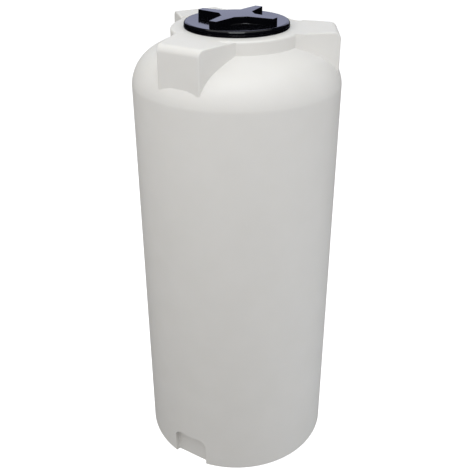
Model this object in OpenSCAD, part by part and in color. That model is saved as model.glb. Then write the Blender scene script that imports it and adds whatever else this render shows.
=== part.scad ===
// Upright storage tank: a hollow-moulded polyethylene shell with a domed shoulder, a raised neck hub,
// flat-faced bosses round the hub and an outlet recess at its foot. A threaded collar is bolted to the hub's
// top, and a screw lid with a cross-shaped grip closes it.
// Millimetres. The origin is the middle of the base, +Z is up, and the outlet recess faces -Y.

/* [Tank shell] */
// Outside diameter of the straight side
tank_d = 680; // [650:5:760]
// Wall of the moulded shell
wall_t = 6; // [4:0.5:8]
// Height of the straight side, from the base to the crease of the shoulder
side_h = 1401; // [900:1:1900]
// Outside radius of the shoulder's knuckle
knuckle_r = 129; // [112:1:140]
// Inward lean of the shoulder where it leaves the straight side, in degrees
crease_lean = 6; // [3:0.5:9]
// Outside radius of the crown, which runs on from the knuckle
crown_r = 560; // [520:5:660]
// Rounding of the base's edge
base_round = 10; // [9:0.5:16]

/* [Hub and bosses] */
// Distance from the collar's edge out to the edge of the raised hub that carries it
hub_margin = 42; // [34:0.5:46]
// Height of the hub's wall above the crown where they meet
hub_rise = 42; // [34:0.5:54]
// Bevel of the hub's top edge
hub_bevel = 4; // [1:0.5:6]
// Number of bosses round the hub
boss_count = 3; // [2:1:4]
// Distance from the straight side in to a boss's flat face
boss_inset = 18; // [14:1:28]
// Width of a boss's flat face
boss_face_w = 147; // [110:1:156]
// Taper of each side of a boss towards its face, in degrees
boss_taper = 13.2; // [8:0.2:16]
// Fall of a boss's top from the hub to its face
boss_drop = 1; // [1:0.5:8]
// Rounding between a boss's top and its face
boss_round = 22; // [10:1:24]

/* [Outlet recess] */
// Width of the recess
recess_w = 137; // [100:1:170]
// Height of the recess above the base
recess_h = 114; // [70:2:140]
// Depth of the recess's flat back at its middle
recess_depth = 26; // [15:1:32]
// Rounding of the recess's upper corners
recess_corner = 32; // [10:1:34]

/* [Neck collar] */
// Bore of the collar's barrel at the root of its thread
barrel_bore = 282; // [262:2:300]
// Wall of the barrel
barrel_t = 5; // [3.5:0.5:6]
// Width of the bolting flange outside the barrel
flange_w = 21.5; // [20:0.5:26]
// Thickness of the bolting flange
flange_t = 5; // [4:0.5:7]
// Plain length of the barrel below its thread
barrel_tail = 12; // [6:1:20]
// Radial gap between the barrel and the hole in the hub
barrel_gap = 1.5; // [1:0.5:2.5]
// Thickness of the gasket under the collar
collar_gasket_t = 2; // [2:0.5:4]
// Thickness of the backing ring inside the hub
backing_t = 5; // [3:0.5:8]
// Distance of the gasket's and the backing ring's outer edge inside the collar's
ring_inset = 1; // [0.5:0.5:3]
// Distance of the gasket's and the backing ring's inner edge outside the hole in the hub
ring_setback = 1; // [0.5:0.5:2]

/* [Collar screws] */
// Number of collar screws
screw_count = 12; // [6:1:16]
// Thread diameter of a collar screw
screw_d = 6; // [5:1:6]
// Diameter of a screw's hole
screw_hole_d = 6.6; // [6.2:0.2:7]
// Length of a screw below its head
screw_len = 30; // [30:1:36]
// Diameter of a screw's pan head
screw_head_d = 12; // [9:0.5:13]
// Height of a screw's pan head
screw_head_h = 4.6; // [3:0.2:5]
// Diameter of a washer
washer_d = 12; // [10:0.5:13]
// Thickness of a washer
washer_t = 1.6; // [1:0.2:2]
// Width of a nut across its flats
nut_flats = 10; // [9:0.5:11]
// Height of a nut
nut_h = 5; // [4:0.5:6]
// Radial clearance between a screw and what it is turned into
screw_gap = 0.05; // [0.03:0.01:0.1]
// Width of a screw's hexagon socket across its flats
socket_flats = 4; // [3:0.5:5]

/* [Screw lid] */
// Distance of the lid's edge inside the collar's
lid_inset = 0.5; // [0.5:0.5:3]
// Height of the lid's edge, from the bottom of its lip to the top of its disc
lid_edge_h = 10.5; // [10.5:0.5:16]
// Thickness of the disc
lid_t = 4.5; // [3.5:0.5:6]
// Wall of the lip round the disc
lip_t = 4; // [3:0.5:5]
// Rounding of the lid's upper edge
lid_round = 9; // [4:0.5:10]
// Open groove between the collar's flange and the lid's lip
lid_groove = 1.5; // [1:0.25:2.5]
// Thickness of the gasket under the disc
lid_gasket_t = 3.5; // [3:0.25:5]
// Clearance between the gasket and the lid's skirt
lid_gasket_gap = 0.4; // [0.3:0.1:1]
// Wall of the threaded skirt
skirt_t = 4.5; // [3.5:0.5:6]
// Plain length of the skirt below its thread
skirt_tail = 2; // [1:0.5:5]

/* [Thread] */
// Rise of the thread in one turn
thread_pitch = 12; // [10:0.5:14]
// Turns of the thread
thread_turns = 2; // [1:0.25:2]
// Radial height of a thread ridge
thread_h = 3.5; // [2.5:0.25:4]
// Axial width of a ridge at its root
ridge_root = 4.5; // [3.5:0.25:5]
// Axial width of a ridge at its crest
ridge_crest = 2.5; // [1.5:0.25:3]
// Radial clearance between a ridge's crest and the wall that faces it
thread_gap = 0.9; // [0.7:0.1:1.2]
// Axial clearance between the flanks that draw the lid down
flank_gap = 0.4; // [0.3:0.1:0.8]
// Distance from the barrel's top to the end of its thread
thread_lead = 3; // [2:0.5:6]

/* [Grip] */
// Distance from the axis to the tip of a grip arm
grip_reach = 138; // [110:0.5:150]
// Height of the grip above the disc
grip_h = 19.5; // [14:0.5:26]
// Width of an arm at its tip
grip_tip_w = 28; // [20:1:34]
// Width of an arm where it leaves the grip's middle
grip_root_w = 48; // [40:1:56]
// Distance from the axis to where an arm leaves the grip's middle
grip_root_x = 52; // [50:1:60]
// Wall of the hollow grip
grip_wall = 4; // [3:0.5:5]
// Turn of the closed lid's grip away from -Y, in degrees
grip_turn = 0; // [-45:0.5:45]

/* [Breather] */
// Diameter of the air cup in the grip's middle
cup_d = 76; // [60:1:78]
// Diameter of a breather hole in the grip's side
vent_hole_d = 5; // [3:0.5:6]
// Number of breather holes in a row
vent_hole_count = 3; // [1:1:3]
// Spacing of the breather holes
vent_hole_pitch = 11; // [8:0.5:12]
// Thickness of the insect screen
screen_t = 1; // [0.6:0.1:1.5]
// Width of the screen's clamped edge
screen_lap = 3; // [2:0.5:3]
// Clearance round the screen's edge
screen_gap = 0.5; // [0.3:0.1:0.8]
// Diameter of a hole in the screen
mesh_hole_d = 4; // [3:0.25:5]
// Spacing of the holes in the screen
mesh_pitch = 7; // [6:0.25:10]
// Thickness of the ring that holds the screen
retainer_t = 3; // [2:0.5:5]
// Width of the ring inside the air cup's edge
retainer_lap = 4; // [2:0.5:8]
// Outside diameter of the ring
retainer_d = 104; // [100:1:108]
// Thread diameter of a ring screw
pin_d = 4; // [3:0.5:4.5]
// Length of a ring screw below its head
pin_len = 14; // [10:1:16]
// Diameter of a ring screw's head
pin_head_d = 7.6; // [6:0.2:8]
// Height of a ring screw's head
pin_head_h = 2.6; // [1.6:0.2:3]
// Diameter of a ring screw's hole in the ring
pin_hole_d = 4.8; // [4.6:0.1:5.2]

/* [Hidden] */
$fn = 96;

// Length by which a cutter runs past the face that it opens
past = 20;
// Depth by which a ridge or a rib is rooted in the wall that carries it
rooted = 0.6;
// Length of a cutter that crosses the whole tank
far = 2 * tank_d;
// Straight steps in one turn of the thread
thread_steps = 48;

ivory = [0.89, 0.885, 0.86];
ink = [0.07, 0.075, 0.1];
rubber = [0.13, 0.13, 0.13];
steel = [0.72, 0.73, 0.75];

// Radii of the collar, outwards from its bore, of the hub that carries it and of the lid's lip above it
bore_r = barrel_bore / 2;
barrel_r = bore_r + barrel_t;
collar_r = barrel_r + flange_w;
hub_r = collar_r + hub_margin;
lid_r = collar_r - lid_inset;
lip_bore_r = lid_r - lip_t;
hole_r = barrel_r + barrel_gap;
ring_r = collar_r - ring_inset;
ring_bore_r = hole_r + ring_setback;
screw_circle_r = (barrel_r + lip_bore_r) / 2;

// Shoulder: the knuckle's arc passes through the crease, and the crown's arc runs tangent from the knuckle's
tank_r = tank_d / 2;
knuckle_x = tank_r - knuckle_r * cos(crease_lean);
knuckle_z = side_h - knuckle_r * sin(crease_lean);
crown_z = knuckle_z - sqrt(pow(crown_r - knuckle_r, 2) - pow(knuckle_x, 2));
join_dir = [knuckle_x, knuckle_z - crown_z] / (crown_r - knuckle_r);

hub_top = crown_z + sqrt(pow(crown_r, 2) - pow(hub_r, 2)) + hub_rise;
boss_reach = tank_r - boss_inset;
// Direction midway between two bosses, where the revolved forms start and end
between_bosses = 180 / boss_count - 90;
recess_back = tank_r - recess_depth;

// Collar, upwards from the hub's top
flange_z = hub_top + collar_gasket_t;
flange_top = flange_z + flange_t;

// Collar, downwards from the underside of the hub's top
backing_top = hub_top - wall_t;
washer_top = backing_top - backing_t;
nut_top = washer_top - washer_t;

// Lid, upwards from the groove above the collar, and the disc's underside
lip_z = flange_top + lid_groove;
lid_top = lip_z + lid_edge_h;
grip_top = lid_top + grip_h;
lid_z = lid_top - lid_t;
barrel_top = lid_z - lid_gasket_t;

// Thread: the lid's ridge lies just under the barrel's ridge, so that turning the lid home draws it down
skirt_r = bore_r - thread_h - thread_gap;
thread_rise = thread_pitch * thread_turns;
barrel_thread_z = barrel_top - thread_lead - ridge_root / 2 - thread_rise;
flank_slope = (ridge_root - ridge_crest) / 2 / thread_h;
ridge_step = ridge_root - flank_slope * (thread_h + thread_gap) + flank_gap;
lid_thread_z = barrel_thread_z - ridge_step;
barrel_z = barrel_thread_z - ridge_root / 2 - barrel_tail;
skirt_z = lid_thread_z - ridge_root / 2 - skirt_tail;

// Grip and breather
grip_slope = (grip_root_w - grip_tip_w) / 2 / (grip_reach - grip_root_x);
grip_flat = (grip_root_x + grip_root_w / 2) / sqrt(2);
cup_r = cup_d / 2;
screen_r = cup_r + screen_lap;
pin_circle_r = (screen_r + retainer_d / 2) / 2;
vent_z = lid_top + grip_h / 2;

function unit(v) = v / norm(v);

// Half width of a grip arm at distance x from the axis
function arm_half_w(x) = grip_root_w / 2 + (grip_root_x - x) * grip_slope;

// Corner of an outline with points p: the corner, the directions of its two sides and its rounding's sizes
function corner(p, i, r) =
    let (c = p[i], a = unit(p[(i + len(p) - 1) % len(p)] - c), b = unit(p[(i + 1) % len(p)] - c))
    let (half = acos(a * b) / 2)
    [c + a * r / tan(half), c + b * r / tan(half), c + unit(a + b) * r / sin(half)];

// Convex outline whose corners have the given radii, as true arcs
module rounded_outline(points, radii) {
    last = len(points) - 1;
    corners = [for (i = [0 : last]) corner(points, i, radii[i])];
    polygon([for (i = [0 : last]) each radii[i] > 0 ? [corners[i][0], corners[i][1]] : [points[i]]]);
    for (i = [0 : last])
        if (radii[i] > 0)
            translate(corners[i][2]) circle(radii[i]);
}

// Flat ring from z up
module ring(r_out, r_in, z, height) {
    translate([0, 0, z])
        linear_extrude(height)
            difference() {
                circle(r_out);
                circle(r_in);
            }
}

// Copies at even angles round the axis, each moved out to radius r
module around(count, r) {
    for (i = [0 : count - 1])
        rotate([0, 0, 360 * i / count])
            translate([r, 0, 0])
                children();
}

// Helical ridge of trapezoid section from radius root_r to radius crest_r, which starts at height z
module helix_ridge(root_r, crest_r, z) {
    steps = round(thread_steps * thread_turns);
    section = [
        [root_r, -ridge_root / 2], [crest_r, -ridge_crest / 2],
        [crest_r, ridge_crest / 2], [root_r, ridge_root / 2]
    ];
    sides = len(section);
    turned = root_r < crest_r ? [for (k = [0 : sides - 1]) k] : [for (k = [sides - 1 : -1 : 0]) k];
    points = [
        for (i = [0 : steps])
            let (a = 360 * thread_turns * i / steps)
                for (k = turned)
                    let (r = section[k][0], rise = section[k][1] + thread_pitch * a / 360)
                        [r * cos(a), r * sin(a), z + rise]
    ];
    flanks = [
        for (i = [0 : steps - 1])
            for (k = [0 : sides - 1])
                let (low = i * sides + k, next = i * sides + (k + 1) % sides)
                    each [[low, next, next + sides], [low, next + sides, low + sides]]
    ];
    last = steps * sides;
    ends = [[2, 1, 0], [3, 2, 0], [last, last + 1, last + 2], [last, last + 2, last + 3]];
    polyhedron(points, concat(flanks, ends));
}

// Half outline of the tank's body, set in from the outer surface by inset
module body_outline(inset) {
    edge = base_round - inset;
    side = tank_r - inset;
    join_end = [knuckle_x, knuckle_z] + join_dir * (knuckle_r + past);
    translate([0, base_round]) square([side, knuckle_z - base_round]);
    translate([0, inset]) square([side - edge, knuckle_z - inset]);
    translate([side - edge, base_round]) circle(edge);
    intersection() {
        translate([knuckle_x, knuckle_z]) circle(knuckle_r - inset);
        polygon([[knuckle_x, knuckle_z], [side, knuckle_z], [side, join_end[1]], join_end]);
    }
    intersection() {
        translate([0, crown_z]) circle(crown_r - inset);
        polygon([[0, knuckle_z], [knuckle_x, knuckle_z], join_end, [0, join_end[1] + crown_r]]);
    }
}

// Half outline of the hub, with a bevel at its top edge
module hub_outline(inset) {
    r = hub_r - inset;
    top = hub_top - inset;
    polygon([[0, side_h], [r, side_h], [r, top - hub_bevel], [r - hub_bevel, top], [0, top]]);
}

// Boss along +X: tapered in plan, with a sloping top that rounds over into the upright face
module boss(inset) {
    reach = boss_reach - inset;
    function half_w(x) = boss_face_w / 2 + (boss_reach - x) * tan(boss_taper) - inset / cos(boss_taper);
    plan = [[0, -half_w(0)], [reach, -half_w(reach)], [reach, half_w(reach)], [0, half_w(0)]];
    profile = [
        [0, side_h], [reach, side_h], [reach, hub_top - boss_drop - inset],
        [hub_r - inset, hub_top - inset], [0, hub_top - inset]
    ];
    intersection() {
        translate([0, 0, side_h])
            linear_extrude(far)
                polygon(plan);
        rotate([90, 0, 0])
            linear_extrude(far, center = true)
                rounded_outline(profile, [0, 0, boss_round - inset, 0, 0]);
    }
}

// Space of the outlet recess, grown by the wall where it is taken out of the hollow
module recess(grow) {
    w = recess_w + 2 * grow;
    h = recess_h + grow;
    r = recess_corner + grow;
    translate([0, grow - recess_back, 0])
        rotate([90, 0, 0])
            linear_extrude(tank_r)
                rounded_outline([[-w / 2, -past], [w / 2, -past], [w / 2, h], [-w / 2, h]], [0, 0, r, r]);
}

// Outer form of the shell at inset 0, and its hollow at the wall's inset
module tank_form(inset) {
    difference() {
        union() {
            rotate([0, 0, between_bosses]) rotate_extrude() body_outline(inset);
            rotate([0, 0, between_bosses]) rotate_extrude() hub_outline(inset);
            rotate([0, 0, -90]) around(boss_count, 0) boss(inset);
        }
        recess(inset);
    }
}

// Holes of the collar screws, from z up
module screw_holes(z) {
    around(screw_count, screw_circle_r) translate([0, 0, z]) cylinder(d = screw_hole_d, h = far);
}

// One-piece moulded shell, with the hole for the collar's barrel and the holes for its screws
module tank_shell() {
    color(ivory)
        difference() {
            tank_form(0);
            tank_form(wall_t);
            translate([0, 0, backing_top - past]) cylinder(r = hole_r, h = far);
            screw_holes(backing_top - past);
        }
}

// Flat gasket between the hub's top and the collar
module collar_gasket() {
    color(rubber)
        difference() {
            ring(ring_r, ring_bore_r, hub_top, collar_gasket_t);
            screw_holes(hub_top - past);
        }
}

// Collar: a bolting flange, and a barrel with the inner thread
module neck_collar() {
    color(ink)
        difference() {
            union() {
                ring(collar_r, bore_r, flange_z, flange_t);
                ring(barrel_r, bore_r, barrel_z, barrel_top - barrel_z);
                helix_ridge(bore_r + rooted, bore_r - thread_h, barrel_thread_z);
            }
            screw_holes(flange_z - past);
        }
}

// Ring inside the hub that spreads the screws' clamping
module backing_ring() {
    color(ink)
        difference() {
            ring(ring_r, ring_bore_r, washer_top, backing_t);
            screw_holes(washer_top - past);
        }
}

// Pan-head screw that points down from the origin, with a hexagon socket in its head
module socket_screw(d, len, head_d, head_h, flats) {
    difference() {
        union() {
            translate([0, 0, -len]) cylinder(d = d, h = len);
            cylinder(d = head_d, h = head_h);
        }
        translate([0, 0, head_h / 2]) cylinder(d = flats / cos(30), h = head_h, $fn = 6);
    }
}

// Screws that clamp the collar to the hub, hidden under the lid
module collar_screws() {
    color(steel)
        around(screw_count, screw_circle_r)
            translate([0, 0, flange_top])
                socket_screw(screw_d, screw_len, screw_head_d, screw_head_h, socket_flats);
}

// Washers under the backing ring
module collar_washers() {
    color(steel)
        around(screw_count, screw_circle_r) ring(washer_d / 2, screw_hole_d / 2, nut_top, washer_t);
}

// Hexagon nuts on the collar screws
module collar_nuts() {
    color(steel)
        around(screw_count, screw_circle_r)
            translate([0, 0, nut_top - nut_h])
                difference() {
                    cylinder(d = nut_flats / cos(30), h = nut_h, $fn = 6);
                    translate([0, 0, -past]) cylinder(d = screw_d + 2 * screw_gap, h = far);
                }
}

// Sealing ring between the barrel's top and the lid's disc, held round the skirt
module lid_gasket() {
    color(rubber) ring(barrel_r, skirt_r + lid_gasket_gap, barrel_top, lid_gasket_t);
}

// Outline of the grip: a flat-sided middle and four tapered arms, whose tips lie on one circle
module grip_outline() {
    end = grip_reach + past;
    root = arm_half_w(0);
    tip = arm_half_w(end);
    intersection() {
        circle(grip_reach);
        union() {
            around(4, 0) polygon([[0, -root], [end, -tip], [end, tip], [0, root]]);
            rotate(45) square(2 * grip_flat, center = true);
        }
    }
}

// Hollow of one grip arm along +X, open from below
module arm_hollow() {
    start = grip_flat + grip_wall;
    end = min(grip_reach, skirt_r - skirt_t) - grip_wall;
    root = arm_half_w(start) - grip_wall;
    tip = arm_half_w(end) - grip_wall;
    translate([0, 0, lid_z - past])
        linear_extrude(grip_top - grip_wall - lid_z + past)
            polygon([[start, -root], [end, -tip], [end, tip], [start, root]]);
}

// Half outline of the lid's disc, of the lip that it turns down into round its edge, and of its skirt
module lid_outline() {
    difference() {
        translate([0, lip_z]) square([lid_r, lid_edge_h]);
        translate([0, lip_z - past]) square([lip_bore_r, lid_z - lip_z + past]);
        translate([lid_r - lid_round, lid_top - lid_round])
            difference() {
                square(past);
                circle(lid_round);
            }
    }
    translate([skirt_r - skirt_t, skirt_z]) square([skirt_t, lid_z + lid_t / 2 - skirt_z]);
}

// Breather holes through the grip's flat that faces away from the recess
module vent_holes() {
    rotate([0, 0, 45])
        for (i = [0 : vent_hole_count - 1])
            translate([0, (i - (vent_hole_count - 1) / 2) * vent_hole_pitch, vent_z])
                rotate([0, 90, 0])
                    cylinder(d = vent_hole_d, h = grip_flat + past);
}

// Lid: disc, threaded skirt and hollow grip, with the air cup, its breather holes and the screen's seat
module screw_lid() {
    color(ink)
        difference() {
            union() {
                rotate_extrude() lid_outline();
                helix_ridge(skirt_r - rooted, skirt_r + thread_h, lid_thread_z);
                rotate([0, 0, grip_turn - 90])
                    translate([0, 0, lid_top - rooted])
                        linear_extrude(grip_h + rooted)
                            grip_outline();
            }
            rotate([0, 0, grip_turn]) around(4, 0) arm_hollow();
            rotate([0, 0, grip_turn + 90]) vent_holes();
            translate([0, 0, lid_z - past]) cylinder(r = cup_r, h = grip_top - grip_wall - lid_z + past);
            translate([0, 0, lid_z - past]) cylinder(r = screen_r + screen_gap, h = past + screen_t);
            rotate([0, 0, grip_turn])
                around(4, pin_circle_r)
                    translate([0, 0, lid_z - past])
                        cylinder(d = pin_d + 2 * screw_gap, h = past + pin_len);
        }
}

// Perforated screen that keeps insects out of the breather
module vent_screen() {
    mesh_r = cup_r - retainer_lap - mesh_hole_d;
    rows = floor(mesh_r / mesh_pitch);
    color(steel)
        translate([0, 0, lid_z])
            linear_extrude(screen_t)
                difference() {
                    circle(screen_r);
                    for (i = [-rows : rows], j = [-rows : rows])
                        let (p = mesh_pitch * [i + j / 2, j * sin(60)])
                            if (norm(p) <= mesh_r)
                                translate(p) circle(d = mesh_hole_d);
                }
}

// Ring that clamps the screen into the lid's seat
module vent_retainer() {
    color(ink)
        difference() {
            ring(retainer_d / 2, cup_r - retainer_lap, lid_z - retainer_t, retainer_t);
            rotate([0, 0, grip_turn])
                around(4, pin_circle_r)
                    translate([0, 0, lid_z - past])
                        cylinder(d = pin_hole_d, h = far);
        }
}

// Screws that hold the ring, turned up into the grip's middle
module vent_screws() {
    color(steel)
        rotate([0, 0, grip_turn])
            around(4, pin_circle_r)
                translate([0, 0, lid_z - retainer_t])
                    rotate([180, 0, 0])
                        socket_screw(pin_d, pin_len, pin_head_d, pin_head_h, socket_flats / 2);
}

tank_shell();
collar_gasket();
neck_collar();
backing_ring();
collar_screws();
collar_washers();
collar_nuts();
lid_gasket();
screw_lid();
vent_screen();
vent_retainer();
vent_screws();
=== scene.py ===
import math

import bmesh
import bpy
from mathutils import Matrix, Vector


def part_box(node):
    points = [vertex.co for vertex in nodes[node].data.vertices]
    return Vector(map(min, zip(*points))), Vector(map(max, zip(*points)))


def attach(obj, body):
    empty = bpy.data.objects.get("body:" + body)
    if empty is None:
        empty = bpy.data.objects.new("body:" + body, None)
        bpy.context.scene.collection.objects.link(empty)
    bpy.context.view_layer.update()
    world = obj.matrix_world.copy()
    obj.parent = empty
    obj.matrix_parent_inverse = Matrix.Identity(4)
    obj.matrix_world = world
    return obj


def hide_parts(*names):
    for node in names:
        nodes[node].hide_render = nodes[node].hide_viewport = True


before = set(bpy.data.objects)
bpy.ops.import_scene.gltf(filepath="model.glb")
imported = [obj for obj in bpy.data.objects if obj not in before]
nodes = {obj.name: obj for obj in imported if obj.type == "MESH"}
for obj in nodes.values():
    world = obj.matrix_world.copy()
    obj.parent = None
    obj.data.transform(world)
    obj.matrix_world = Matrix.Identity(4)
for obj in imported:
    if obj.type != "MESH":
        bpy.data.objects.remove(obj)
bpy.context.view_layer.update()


# Tank shell: one hollow moulding of natural polyethylene with a 6 mm wall, made by turning powder in a hot
# mould. Its straight side runs up into a domed shoulder, from which the neck hub and three bosses rise. It
# stands on its own flat base, and the recess at its foot has a flat back for an outlet fitting.
MM = 0.001
TURN_STEPS = 288
HOLE_STEPS = 32
MERGE = 0.001 * MM
tank_r = 340 * MM
wall_t = 6 * MM
side_h = 1401 * MM
base_round = 10 * MM
crease_soft = 4 * MM
crease_lean = math.radians(6)
knuckle_r = 129 * MM
crown_r = 560 * MM
knuckle_steps = 28
crown_steps = 32
knuckle_x = tank_r - knuckle_r * math.cos(crease_lean)
knuckle_z = side_h - knuckle_r * math.sin(crease_lean)
crown_z = knuckle_z - math.sqrt((crown_r - knuckle_r) ** 2 - knuckle_x ** 2)
join_turn = math.atan2(knuckle_z - crown_z, knuckle_x)
side_rings = [height * MM for height in (130, 450, 770, 1090)]
hub_r = 209.5 * MM
hub_round = 7 * MM
hub_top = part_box("tank_shell")[1].z
above_crease = 8 * MM
rise_low = side_h + above_crease
boss_turns = [math.radians(turn) for turn in (270, 30, 150)]
boss_inset = 18 * MM
boss_reach = tank_r - boss_inset
boss_start = 150 * MM
boss_face_w = 147 * MM
boss_taper = math.radians(13.2)
boss_drop = 1 * MM
boss_round = 22 * MM
boss_edge = 4.5 * MM
recess_w = 137 * MM
recess_h = 114 * MM
recess_corner = 32 * MM
recess_fillet = 4 * MM
recess_depth = 26 * MM
recess_back = tank_r - recess_depth
neck_hole_r = 147.5 * MM
screw_circle_r = 154.5 * MM
screw_hole_r = 3.3 * MM
screw_count = 12
past = 40 * MM


def srgb(code):
    """Linear colour of an sRGB hex value such as #C0FFEE."""
    shares = [int(code[i:i + 2], 16) / 255 for i in (1, 3, 5)]
    return [c / 12.92 if c <= 0.04045 else ((c + 0.055) / 1.055) ** 2.4 for c in shares] + [1.0]


def add_node(tree, kind, sockets=None, **settings):
    """Adds a shader node with its settings. A socket takes a value, or a link from another node's output."""
    node = tree.nodes.new("ShaderNode" + kind)
    for name, value in settings.items():
        setattr(node, name, value)
    for key, value in (sockets or {}).items():
        if isinstance(value, bpy.types.NodeSocket):
            tree.links.new(value, node.inputs[key])
        else:
            node.inputs[key].default_value = value
    return node


def new_material(name):
    """Empty node material, its node tree and its Object coordinates."""
    material = bpy.data.materials.new(name)
    material.use_nodes = True
    material.node_tree.nodes.clear()
    return material, material.node_tree, add_node(material.node_tree, "TexCoord").outputs["Object"]


def arc(centre, radius, start, end, steps):
    """Points (radius, height) along an arc, with its angles in radians from the horizontal."""
    turns = [start + (end - start) * i / steps for i in range(steps + 1)]
    return [(centre[0] + radius * math.cos(a), centre[1] + radius * math.sin(a)) for a in turns]


def tidy(bm):
    """Merges doubles and points the faces outwards."""
    bmesh.ops.remove_doubles(bm, verts=bm.verts, dist=MERGE)
    bmesh.ops.recalc_face_normals(bm, faces=bm.faces)
    return bm


def lathe(outline, closed=False):
    """Outline of (radius, height) points, turned once round the tank's axis."""
    bm = bmesh.new()
    verts = [bm.verts.new((r, 0, z)) for r, z in outline]
    pairs = list(zip(verts, verts[1:])) + [(verts[-1], verts[0])] * closed
    edges = [bm.edges.new(pair) for pair in pairs]
    bmesh.ops.spin(
        bm, geom=verts + edges, cent=(0, 0, 0), axis=(0, 0, 1), angle=math.tau, steps=TURN_STEPS,
        use_merge=True
    )
    return tidy(bm)


def round_rings(bm, corners, radius, steps):
    """Rounds the circular edges that lie at the given (radius, height) corners."""
    def lies_at(vert, corner):
        return (Vector((vert.co.xy.length, vert.co.z)) - Vector(corner)).length < 10 * MERGE

    rings = [e for e in bm.edges if any(all(lies_at(v, c) for v in e.verts) for c in corners)]
    bmesh.ops.bevel(bm, geom=rings, offset=radius, segments=steps, profile=0.5, affect="EDGES", material=-1)
    return bm


def to_object(name, bm):
    """Object at the origin from a finished bmesh."""
    mesh = bpy.data.meshes.new(name)
    bm.to_mesh(mesh)
    bm.free()
    obj = bpy.data.objects.new(name, mesh)
    bpy.context.scene.collection.objects.link(obj)
    return obj


def combine(target, operation, tool):
    """Joins the tool to the target or cuts it out of it, and takes the tool away."""
    step = target.modifiers.new("combine", "BOOLEAN")
    step.operation = operation
    step.solver = "EXACT"
    step.object = tool
    made = target.evaluated_get(bpy.context.evaluated_depsgraph_get())
    mesh = bpy.data.meshes.new_from_object(made)
    target.modifiers.clear()
    target.data = mesh
    bpy.data.objects.remove(tool)


def dress(obj, material, sharp_turn=math.radians(32)):
    """Gives a finished piece its material, and smooth shading up to the angle of its sharp edges."""
    obj.data.materials.clear()
    obj.data.materials.append(material)
    obj.data.shade_smooth()
    obj.data.set_sharp_from_angle(angle=sharp_turn)
    even = obj.modifiers.new("even_normals", "WEIGHTED_NORMAL")
    even.keep_sharp = True


def body_outline(inset):
    """Half outline of the body, from the middle of its base to the top of its crown."""
    side = tank_r - inset
    knuckle = knuckle_r - inset
    crease_turn = math.acos((side - knuckle_x) / knuckle)
    outline = [(0, inset), (side, inset)] + [(side, height) for height in side_rings]
    outline += arc((knuckle_x, knuckle_z), knuckle, crease_turn, join_turn, knuckle_steps)
    return outline + arc((0, crown_z), crown_r - inset, join_turn, math.pi / 2, crown_steps)[1:]


def hub_outline(inset):
    """Half outline of the hub, from inside the body to the middle of its top."""
    top = hub_top - inset
    return [(0, rise_low), (hub_r - inset, rise_low), (hub_r - inset, top), (0, top)]


def boss(turn, inset):
    """Boss at one turn round the axis: a tapered block with a sloping top that rounds into its flat face."""
    reach = boss_reach - inset
    top = hub_top - inset
    profile = [
        (boss_start, rise_low), (reach, rise_low), (reach, top - boss_drop), (hub_r - inset, top),
        (boss_start, top)
    ]
    bm = bmesh.new()
    side = bm.faces.new([bm.verts.new((x, -1, z)) for x, z in profile])
    moved = bmesh.ops.extrude_face_region(bm, geom=[side])["geom"]
    bmesh.ops.translate(bm, verts=[v for v in moved if isinstance(v, bmesh.types.BMVert)], vec=(0, 2, 0))
    # The sides stand one unit from the middle plane, and are drawn in to the boss's half width.
    for vert in bm.verts:
        half_w = boss_face_w / 2 + (boss_reach - vert.co.x) * math.tan(boss_taper)
        vert.co.y *= half_w - inset / math.cos(boss_taper)
    brow = [e for e in bm.edges if all(v.co.x > reach - MERGE and v.co.z > rise_low + MM for v in e.verts)]
    brow = [e for e in brow if abs(e.verts[0].co.z - e.verts[1].co.z) < MERGE]
    bmesh.ops.bevel(
        bm, geom=brow, offset=boss_round - inset, segments=10, profile=0.5, affect="EDGES", material=-1
    )
    tidy(bm)
    if not inset:
        flanks = [f for f in bm.faces if abs(f.normal.y) > 0.5]
        edges = {e for f in flanks for e in f.edges if all(v.co.x > boss_start + MM for v in e.verts)}
        edges = [e for e in edges if any(v.co.z > rise_low + MM for v in e.verts)]
        bmesh.ops.bevel(
            bm, geom=edges, offset=boss_edge, segments=4, profile=0.5, affect="EDGES", material=-1
        )
        tidy(bm)
    bmesh.ops.rotate(bm, verts=bm.verts, cent=(0, 0, 0), matrix=Matrix.Rotation(turn, 3, "Z"))
    return to_object("boss", bm)


def recess(grow):
    """Space of the outlet recess, grown by the wall where it is taken out of the hollow."""
    half_w = recess_w / 2 + grow
    top = recess_h + grow
    back = grow - recess_back
    bm = bmesh.new()
    corners = [(-half_w, -past), (half_w, -past), (half_w, top), (-half_w, top)]
    rear = bm.faces.new([bm.verts.new((x, back, z)) for x, z in corners])
    bmesh.ops.bevel(
        bm, geom=[v for v in rear.verts if v.co.z > 0], offset=recess_corner + grow, segments=10,
        profile=0.5, affect="VERTICES", material=-1
    )
    moved = bmesh.ops.extrude_face_region(bm, geom=bm.faces[:])["geom"]
    verts = [v for v in moved if isinstance(v, bmesh.types.BMVert)]
    bmesh.ops.translate(bm, verts=verts, vec=(0, -3 * past, 0))
    if not grow:
        edges = [e for e in bm.edges if all(abs(v.co.y - back) < MERGE for v in e.verts)]
        edges = [e for e in edges if any(v.co.z > 0 for v in e.verts)]
        bmesh.ops.bevel(
            bm, geom=edges, offset=recess_fillet, segments=4, profile=0.5, affect="EDGES", material=-1
        )
    return to_object("recess", tidy(bm))


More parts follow.
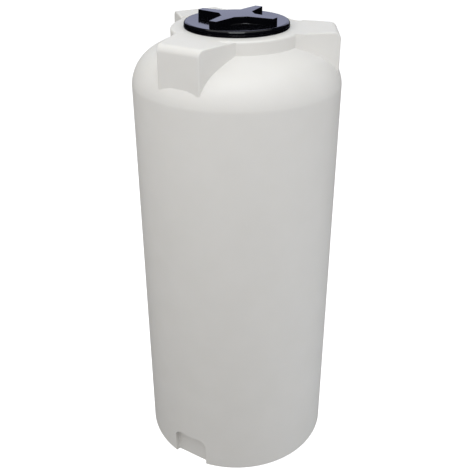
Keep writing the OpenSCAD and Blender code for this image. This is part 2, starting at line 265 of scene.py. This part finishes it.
def tank_form(inset):
    """Outer form of the shell at inset 0, and its hollow at the wall's inset."""
    body = round_rings(lathe(body_outline(inset)), [(tank_r - inset, inset)], base_round - inset, steps=6)
    crease = math.acos((tank_r - inset - knuckle_x) / (knuckle_r - inset))
    crease_height = knuckle_z + (knuckle_r - inset) * math.sin(crease)
    round_rings(body, [(tank_r - inset, crease_height)], crease_soft, steps=6)
    made = to_object("tank_form", body)
    hub = lathe(hub_outline(inset))
    if not inset:
        round_rings(hub, [(hub_r, hub_top)], hub_round, steps=5)
    crown = to_object("hub", hub)
    for turn in boss_turns:
        combine(crown, "UNION", boss(turn, inset))
    combine(made, "UNION", crown)
    combine(made, "DIFFERENCE", recess(inset))
    return made


def drill(radius, circle_r, count, low, high, first_turn=0):
    """Upright drill holes on a circle round the axis, as one cutter."""
    bm = bmesh.new()
    for i in range(count):
        turn = first_turn + math.tau * i / count
        middle = Vector((circle_r * math.cos(turn), circle_r * math.sin(turn), (low + high) / 2))
        bmesh.ops.create_cone(
            bm, cap_ends=True, segments=HOLE_STEPS, radius1=radius, radius2=radius, depth=high - low,
            matrix=Matrix.Translation(middle)
        )
    return to_object("drill", bm)


# Rotomoulded polyethylene: milky off-white with a soft satin sheen and the faint orange peel of the mould.
# Powder that melted unevenly leaves broad, barely darker clouds, and light goes a few millimetres in.
cloud_size = 90 * MM
peel_size = 7 * MM
peel_depth = 0.12 * MM
light_depth = 4 * MM
polyethylene, tree, place = new_material("rotomoulded_polyethylene")
clouds = add_node(tree, "TexNoise", {
    "Vector": place, "Scale": 1 / cloud_size, "Detail": 3.0, "Roughness": 0.55,
})
tint = add_node(
    tree, "Mix", {0: clouds.outputs["Fac"], 6: srgb("#EBE9E4"), 7: srgb("#F0EEEA")}, data_type="RGBA"
)
sheen = add_node(tree, "MapRange", {"Value": clouds.outputs["Fac"], "To Min": 0.46, "To Max": 0.58})
peel = add_node(tree, "TexNoise", {"Vector": place, "Scale": 1 / peel_size, "Detail": 2.0, "Roughness": 0.5})
bumps = add_node(tree, "Bump", {"Height": peel.outputs["Fac"], "Strength": 0.35, "Distance": peel_depth})
skin = add_node(tree, "BsdfPrincipled", {
    "Base Color": tint.outputs[2], "Roughness": sheen.outputs["Result"], "IOR": 1.5,
    "Normal": bumps.outputs["Normal"],
    "Subsurface Weight": 0.15, "Subsurface Radius": (1.0, 0.95, 0.85), "Subsurface Scale": light_depth,
})
add_node(tree, "OutputMaterial", {"Surface": skin.outputs["BSDF"]})

shell = tank_form(0)
shell.name = "tank"
combine(shell, "DIFFERENCE", tank_form(wall_t))
neck_hole = [(0, rise_low), (neck_hole_r, rise_low), (neck_hole_r, hub_top + past), (0, hub_top + past)]
combine(shell, "DIFFERENCE", to_object("neck_hole", lathe(neck_hole)))
hub_holes = drill(screw_hole_r, screw_circle_r, screw_count, hub_top - past, hub_top + past)
combine(shell, "DIFFERENCE", hub_holes)
dress(shell, polyethylene)
# In the photograph the lid's upright faces are black, so the pale tank leaves no mirror image in its gloss.
shell.visible_glossy = False
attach(shell, "tank")
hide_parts("tank_shell")


# Collar gasket and lid gasket: flat rings cut from black EPDM sheet. One lies between the hub and the
# collar and is squeezed by the collar's screws, and the other sits round the lid's skirt and seals on the
# top of the barrel.
grain_size = 2 * MM
grain_depth = 0.05 * MM


def coat(names, material):
    """Gives CAD nodes that are shown as they are their material."""
    for name in names:
        nodes[name].data.materials.clear()
        nodes[name].data.materials.append(material)


# EPDM rubber: dull charcoal with a fine dusty grain that keeps highlights broad and weak.
rubber, tree, place = new_material("cut_epdm_rubber")
grain = add_node(tree, "TexNoise", {"Vector": place, "Scale": 1 / grain_size, "Detail": 3.0})
dust = add_node(
    tree, "Mix", {0: grain.outputs["Fac"], 6: srgb("#161616"), 7: srgb("#242424")}, data_type="RGBA"
)
bumps = add_node(tree, "Bump", {"Height": grain.outputs["Fac"], "Strength": 0.4, "Distance": grain_depth})
skin = add_node(tree, "BsdfPrincipled", {
    "Base Color": dust.outputs[2], "Roughness": 0.78, "IOR": 1.52, "Normal": bumps.outputs["Normal"],
})
add_node(tree, "OutputMaterial", {"Surface": skin.outputs["BSDF"]})
coat(("collar_gasket", "lid_gasket"), rubber)


# Neck collar: an injection-moulded ring of black polypropylene, bolted to the hub through its flange. Its
# barrel hangs into the neck hole and carries the inner thread, and the lid's lip hides the screws' heads.
flange_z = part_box("collar_gasket")[1].z
barrel_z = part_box("neck_collar")[0].z
barrel_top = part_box("lid_gasket")[0].z
flange_t = 5 * MM
flange_top = flange_z + flange_t
collar_r = 167.5 * MM
barrel_r = 146 * MM
bore_r = 141 * MM
flange_round = 0.8 * MM
thread_pitch = 12 * MM
thread_turns = 2
thread_steps = 72
thread_h = 3.5 * MM
thread_lead = 3 * MM
ridge_root = 4.5 * MM
ridge_crest = 2.5 * MM
rooted = 0.6 * MM
barrel_thread_z = barrel_top - thread_lead - ridge_root / 2 - thread_pitch * thread_turns


def thread(root_r, crest_r, start_z):
    """Helical ridge of trapezoid section from a root radius to a crest radius."""
    section = [
        (root_r, -ridge_root / 2), (crest_r, -ridge_crest / 2), (crest_r, ridge_crest / 2),
        (root_r, ridge_root / 2)
    ]
    steps = thread_steps * thread_turns
    bm = bmesh.new()
    face = bm.faces.new([bm.verts.new((r, 0, start_z + z)) for r, z in section])
    bmesh.ops.spin(
        bm, geom=[face, *face.verts, *face.edges], cent=(0, 0, 0), axis=(0, 0, 1),
        dvec=(0, 0, thread_pitch * thread_turns / steps), angle=math.tau * thread_turns, steps=steps
    )
    return to_object("thread", tidy(bm))


# Glossy polypropylene: blue-black and polished by the mould, so upper faces mirror the cool light behind
# the tank and upright ones stay nearly black. A faint waviness from cooling bends the reflections, and
# handling has dulled it in soft patches.
wave_size = 35 * MM
wave_depth = 0.03 * MM
gloss, tree, place = new_material("gloss_polypropylene")
waves = add_node(tree, "TexNoise", {"Vector": place, "Scale": 1 / wave_size, "Detail": 1.0})
shade = add_node(
    tree, "Mix", {0: waves.outputs["Fac"], 6: srgb("#07070A"), 7: srgb("#0B0B0F")}, data_type="RGBA"
)
polish = add_node(tree, "MapRange", {"Value": waves.outputs["Fac"], "To Min": 0.06, "To Max": 0.1})
bumps = add_node(tree, "Bump", {"Height": waves.outputs["Fac"], "Strength": 0.3, "Distance": wave_depth})
skin = add_node(tree, "BsdfPrincipled", {
    "Base Color": shade.outputs[2], "Roughness": polish.outputs["Result"], "IOR": 1.5,
    "Normal": bumps.outputs["Normal"],
})
add_node(tree, "OutputMaterial", {"Surface": skin.outputs["BSDF"]})

collar_outline = [
    (bore_r, barrel_z), (barrel_r, barrel_z), (barrel_r, flange_z), (collar_r, flange_z),
    (collar_r, flange_top), (barrel_r, flange_top), (barrel_r, barrel_top), (bore_r, barrel_top)
]
flange_corners = [(collar_r, flange_z), (collar_r, flange_top)]
ring = round_rings(lathe(collar_outline, closed=True), flange_corners, flange_round, steps=4)
collar = to_object("collar", ring)
combine(collar, "UNION", thread(bore_r + rooted, bore_r - thread_h, barrel_thread_z))
flange_holes = drill(screw_hole_r, screw_circle_r, screw_count, flange_z - past, flange_z + past)
combine(collar, "DIFFERENCE", flange_holes)
dress(collar, gloss)
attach(collar, "tank")
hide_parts("neck_collar")


# Backing ring and screen retainer: plain rings of the same black polypropylene, moulded with a matt face.
# The first lies under the hub's top and spreads the screws' clamping, and the second holds the insect
# screen in the lid.
texture_size = 1.5 * MM
texture_depth = 0.04 * MM
# Matt polypropylene: charcoal, with the fine etched grain of a textured mould.
matt, tree, place = new_material("matt_polypropylene")
etch = add_node(tree, "TexNoise", {"Vector": place, "Scale": 1 / texture_size, "Detail": 2.0})
shade = add_node(
    tree, "Mix", {0: etch.outputs["Fac"], 6: srgb("#14151A"), 7: srgb("#1D1E24")}, data_type="RGBA"
)
bumps = add_node(tree, "Bump", {"Height": etch.outputs["Fac"], "Strength": 0.4, "Distance": texture_depth})
skin = add_node(tree, "BsdfPrincipled", {
    "Base Color": shade.outputs[2], "Roughness": 0.5, "IOR": 1.5, "Normal": bumps.outputs["Normal"],
})
add_node(tree, "OutputMaterial", {"Surface": skin.outputs["BSDF"]})
coat(("backing_ring", "vent_retainer"), matt)


# Screws, washers, nuts and insect screen: cold-formed and punched stainless steel. Twelve screws clamp the
# collar, hub and backing ring together, and four more hold the retainer and the screen up in the lid.
draw_size = 0.8 * MM
draw_stretch = 12
# Stainless steel: pale grey metal with fine drawing lines, which spread highlights across them.
stainless, tree, place = new_material("drawn_stainless_steel")
along = add_node(tree, "Mapping", {"Vector": place, "Scale": (1, 1, 1 / draw_stretch)})
lines = add_node(tree, "TexNoise", {
    "Vector": along.outputs["Vector"], "Scale": 1 / draw_size, "Detail": 2.0,
})
shade = add_node(
    tree, "Mix", {0: lines.outputs["Fac"], 6: srgb("#B9BBBE"), 7: srgb("#D2D3D5")}, data_type="RGBA"
)
polish = add_node(tree, "MapRange", {"Value": lines.outputs["Fac"], "To Min": 0.22, "To Max": 0.4})
skin = add_node(tree, "BsdfPrincipled", {
    "Base Color": shade.outputs[2], "Roughness": polish.outputs["Result"], "Metallic": 1.0,
})
add_node(tree, "OutputMaterial", {"Surface": skin.outputs["BSDF"]})
coat(("collar_screws", "collar_washers", "collar_nuts", "vent_screen", "vent_screws"), stainless)


# Screw lid: one injection moulding of glossy black polypropylene, a slightly dished disc that turns down
# into a lip, with a threaded skirt and a hollow cross-shaped grip. It screws down on the lid gasket and
# breathes through three holes in the back of the grip.
lid_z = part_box("lid_gasket")[1].z
skirt_z, grip_top = (corner.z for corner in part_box("screw_lid"))
lid_r = 167 * MM
lid_t = 4.5 * MM
lid_top = lid_z + lid_t
lid_groove = 1.5 * MM
lip_z = flange_top + lid_groove
lip_bore_r = 163 * MM
lid_round = 9 * MM
lid_under_round = 0.8 * MM
thread_gap = 0.9 * MM
skirt_r = bore_r - thread_h - thread_gap
skirt_t = 4.5 * MM
flank_gap = 0.4 * MM
flank_slope = (ridge_root - ridge_crest) / 2 / thread_h
ridge_step = ridge_root - flank_slope * (thread_h + thread_gap) + flank_gap
lid_thread_z = barrel_thread_z - ridge_step
grip_turn = 0
grip_reach = 138 * MM
grip_tip_w = 27 * MM
grip_root_w = 48 * MM
grip_root_x = 52 * MM
grip_slope = (grip_root_w - grip_tip_w) / 2 / (grip_reach - grip_root_x)
grip_flat = (grip_root_x + grip_root_w / 2) / math.sqrt(2)
grip_wall = 4 * MM
grip_corner = 2 * MM
grip_fillet = 2.5 * MM
grip_edge = 1.6 * MM
grip_steps = 5
grip_foot = 0.3 * MM
hollow_gap = 2 * MM
disc_dish = 2.2 * MM
disc_rim = 1 * MM
dish_r = lid_r - lid_round - disc_rim
dish_shares = (1, 0.85, 0.7, 0.55, 0.4, 0.2, 0)
disc_z = lid_top - disc_dish
cup_r = 38 * MM
seat_r = 41.5 * MM
seat_h = 1 * MM
pin_count = 4
pin_circle_r = 46.5 * MM
pin_hole_r = 2.05 * MM
pin_depth = 14 * MM
vent_hole_r = 2.5 * MM
vent_pitch = 11 * MM
vent_turn = grip_turn + math.radians(135)


def arm_half_w(x):
    """Half width of a grip arm at distance x from the axis."""
    return grip_root_w / 2 + (grip_root_x - x) * grip_slope


def grip():
    """Cross-shaped grip: a flat-sided middle and four tapered arms, with rounded foot and edges."""
    slant = math.sqrt(1 + grip_slope ** 2)
    tip_x = grip_reach + grip_fillet
    tip_y = arm_half_w(tip_x) + grip_fillet * slant
    root_sum = math.sqrt(2) * (grip_flat + grip_fillet) - grip_root_w / 2 - grip_root_x * grip_slope
    root_x = (root_sum - grip_fillet * slant) / (1 - grip_slope)
    root_y = arm_half_w(root_x) + grip_fillet * slant
    bm = bmesh.new()
    foot = []
    for quarter in range(4):
        turned = Matrix.Rotation(grip_turn + math.pi / 2 * quarter, 3, "Z")
        for x, y in ((root_x, -root_y), (tip_x, -tip_y), (tip_x, tip_y), (root_x, root_y)):
            foot.append(bm.verts.new(turned @ Vector((x, y, disc_z - grip_foot))))
    bm.faces.new(foot)
    tips = [v for v in foot if v.co.xy.length > grip_reach]
    bmesh.ops.bevel(
        bm, geom=tips, offset=grip_corner + grip_fillet, segments=6, profile=0.5, affect="VERTICES",
        material=-1
    )
    raised = bmesh.ops.extrude_face_region(bm, geom=list(bm.faces))["geom"]
    top = next(f for f in raised if isinstance(f, bmesh.types.BMFace))

    def step(inward, up):
        bmesh.ops.inset_individual(bm, faces=[top], thickness=inward, depth=0, use_even_offset=True)
        bmesh.ops.translate(bm, verts=top.verts, vec=(0, 0, up))

    bmesh.ops.translate(bm, verts=top.verts, vec=(0, 0, grip_foot / 2))
    turns = [math.pi / 2 * i / grip_steps for i in range(grip_steps + 1)]
    for low, high in zip(turns, turns[1:]):
        rise = math.cos(low) - math.cos(high)
        step(grip_fillet * (math.sin(high) - math.sin(low)), grip_fillet * rise)
    step(0, grip_top - grip_edge - top.verts[0].co.z)
    for low, high in zip(turns, turns[1:]):
        inward = math.cos(low) - math.cos(high)
        step(grip_edge * inward, grip_edge * (math.sin(high) - math.sin(low)))
    return to_object("grip", tidy(bm))


def arm_hollows():
    """Hollows of the grip's four arms, open from below."""
    start = grip_flat + grip_wall
    end = skirt_r - skirt_t - grip_wall - hollow_gap
    bm = bmesh.new()
    for quarter in range(4):
        turned = Matrix.Rotation(grip_turn + math.pi / 2 * quarter, 3, "Z")
        root, tip = arm_half_w(start) - grip_wall, arm_half_w(end) - grip_wall
        corners = ((start, -root), (end, -tip), (end, tip), (start, root))
        low = bm.faces.new([bm.verts.new(turned @ Vector((x, y, lid_z - past))) for x, y in corners])
        moved = bmesh.ops.extrude_face_region(bm, geom=[low])["geom"]
        verts = [v for v in moved if isinstance(v, bmesh.types.BMVert)]
        bmesh.ops.translate(bm, verts=verts, vec=(0, 0, grip_top - grip_wall - lid_z + past))
    return to_object("arm_hollows", tidy(bm))


def vent_holes():
    """Breather holes through the grip's back flat into its air cup, as one cutter."""
    bm = bmesh.new()
    lie = Matrix.Rotation(vent_turn, 4, "Z") @ Matrix.Translation((cup_r, 0, (lid_top + grip_top) / 2))
    for i in (-1, 0, 1):
        bmesh.ops.create_cone(
            bm, cap_ends=True, segments=HOLE_STEPS, radius1=vent_hole_r, radius2=vent_hole_r, depth=past,
            matrix=lie @ Matrix.Translation((0, i * vent_pitch, 0)) @ Matrix.Rotation(math.pi / 2, 4, "Y")
        )
    return to_object("vent_holes", bm)


lid_outline = [
    (0, lid_z), (skirt_r - skirt_t, lid_z), (skirt_r - skirt_t, skirt_z), (skirt_r, skirt_z),
    (skirt_r, lid_z), (lip_bore_r, lid_z), (lip_bore_r, lip_z), (lid_r, lip_z), (lid_r, lid_top)
]
lid_outline += [(dish_r * share, disc_z + disc_dish * share ** 2) for share in dish_shares]
disc = round_rings(lathe(lid_outline), [(lid_r, lid_top)], lid_round, steps=12)
round_rings(disc, [(lid_r, lip_z)], lid_under_round, steps=3)
lid = to_object("lid", disc)
combine(lid, "UNION", grip())
combine(lid, "UNION", thread(skirt_r - rooted, skirt_r + thread_h, lid_thread_z))
combine(lid, "DIFFERENCE", arm_hollows())
air_cup = [
    (0, lid_z - past), (seat_r, lid_z - past), (seat_r, lid_z + seat_h), (cup_r, lid_z + seat_h),
    (cup_r, grip_top - grip_wall), (0, grip_top - grip_wall)
]
combine(lid, "DIFFERENCE", to_object("air_cup", lathe(air_cup)))
pin_holes = drill(pin_hole_r, pin_circle_r, pin_count, lid_z - past, lid_z + pin_depth, grip_turn)
combine(lid, "DIFFERENCE", pin_holes)
combine(lid, "DIFFERENCE", vent_holes())
dress(lid, gloss)
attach(lid, "lid")
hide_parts("screw_lid")


# Floor: a plain white light table. It glows by itself, so the tank stands in pure white as in the
# photograph, and neither its light nor its mirror image reaches the tank.
floor_r = 60.0
floor_drop = 0.5 * MM
floor_glow = 0.8
haze_size = 2500 * MM
# White light table: an even, matt white with a haze so faint that the glow hides it.
table, tree, place = new_material("pale_light_table")
haze = add_node(tree, "TexNoise", {"Vector": place, "Scale": 1 / haze_size, "Detail": 1.0})
shade = add_node(
    tree, "Mix", {0: haze.outputs["Fac"], 6: srgb("#E6E6E6"), 7: srgb("#EAEAEA")}, data_type="RGBA"
)
skin = add_node(tree, "BsdfPrincipled", {
    "Base Color": shade.outputs[2], "Roughness": 0.9, "Specular IOR Level": 0.1,
    "Emission Color": (1, 1, 1, 1), "Emission Strength": floor_glow,
})
add_node(tree, "OutputMaterial", {"Surface": skin.outputs["BSDF"]})
bm = bmesh.new()
bmesh.ops.create_circle(
    bm, cap_ends=True, segments=96, radius=floor_r, matrix=Matrix.Translation((0, 0, -floor_drop))
)
floor = to_object("floor", bm)
floor.data.materials.append(table)
floor.visible_diffuse = False
floor.visible_glossy = False


# Light: a dim white room, fills from the left, the front and the right, a rim light low on the right, a
# fill from high behind and a high key light in front. A cool panel behind the tank and a ceiling over it
# show only as mirror images, mostly in the lid's gloss, and the fills leave none.
room_light = 0.392
world = bpy.data.worlds.new("room")
bpy.context.scene.world = world
world.use_nodes = True
world.node_tree.nodes["Background"].inputs["Color"].default_value = (1, 1, 1, 1)
world.node_tree.nodes["Background"].inputs["Strength"].default_value = room_light
world.cycles_visibility.glossy = False


def softbox(name, place, aim_z, size, radiance, colour=(1, 1, 1), mirrored=False, lights=True):
    """Rectangular softbox of a given brightness that faces the tank's axis at a height."""
    light = bpy.data.lights.new(name, "AREA")
    light.shape = "RECTANGLE"
    light.size, light.size_y = size
    light.energy = radiance * math.pi * size[0] * size[1]
    light.color = colour
    lamp = bpy.data.objects.new(name, light)
    lamp.location = place
    lamp.rotation_euler = (Vector((0, 0, aim_z)) - Vector(place)).to_track_quat("-Z", "Y").to_euler()
    lamp.visible_glossy = mirrored
    lamp.visible_diffuse = lights
    bpy.context.scene.collection.objects.link(lamp)


softbox(
    "left_fill", place=(-2.6, -2.6, 3.0), aim_z=1.0, size=(1.8, 1.8),
    radiance=2.1, colour=(0.97, 0.985, 1.0)
)
softbox(
    "front_fill", place=(-0.7, -3.2, 3.2), aim_z=1.4, size=(1.4, 1.4),
    radiance=3.3, colour=(1.0, 0.96, 0.95)
)
softbox(
    "right_fill", place=(3.6, -0.6, 3.0), aim_z=1.0, size=(1.8, 1.8),
    radiance=3.3, colour=(0.955, 0.955, 1.0)
)
softbox(
    "right_rim", place=(1.7, 0.6, 0.1), aim_z=0.25, size=(0.8, 0.8),
    radiance=2.8, colour=(0.82, 0.9, 1.0)
)
softbox(
    "back_fill", place=(-1.2, 1.8, 4.4), aim_z=1.5, size=(2.4, 2.4),
    radiance=1.0, colour=(0.98, 1.0, 0.89)
)
softbox(
    "high_key", place=(1.1, -1.8, 4.9), aim_z=1.4, size=(1.8, 1.8),
    radiance=5.0, colour=(0.935, 0.98, 1.0), mirrored=True
)
softbox(
    "back_panel", place=(-1.9, 3.3, 2.9), aim_z=1.6, size=(5.0, 2.0),
    radiance=1.0, colour=(0.70, 0.735, 1.0), mirrored=True, lights=False
)
softbox(
    "ceiling", place=(0, 0, 4.6), aim_z=1.6, size=(4.4, 4.4),
    radiance=0.7, mirrored=True, lights=False
)


# Camera: stands to the front right of the tank and looks 28.8 degrees down, with the photograph's framing.
image_px = 475
focal_px = 718.5
middle_px = (236.81, 238.0)
camera_turn = math.radians(31.77)
camera_tilt = math.radians(28.78)
camera_out = 2.3049
camera_height = 2.0769
lens = bpy.data.cameras.new("camera")
lens.sensor_width = 36
lens.lens = focal_px * lens.sensor_width / image_px
lens.shift_x = (image_px / 2 - middle_px[0]) / image_px
lens.shift_y = (middle_px[1] - image_px / 2) / image_px
lens.clip_end = 4 * floor_r
camera = bpy.data.objects.new("camera", lens)
camera.location = (camera_out * math.sin(camera_turn), -camera_out * math.cos(camera_turn), camera_height)
camera.rotation_euler = (math.pi / 2 - camera_tilt, 0, camera_turn)
bpy.context.scene.collection.objects.link(camera)
bpy.context.scene.camera = camera
bpy.context.scene.view_settings.view_transform = "Standard"
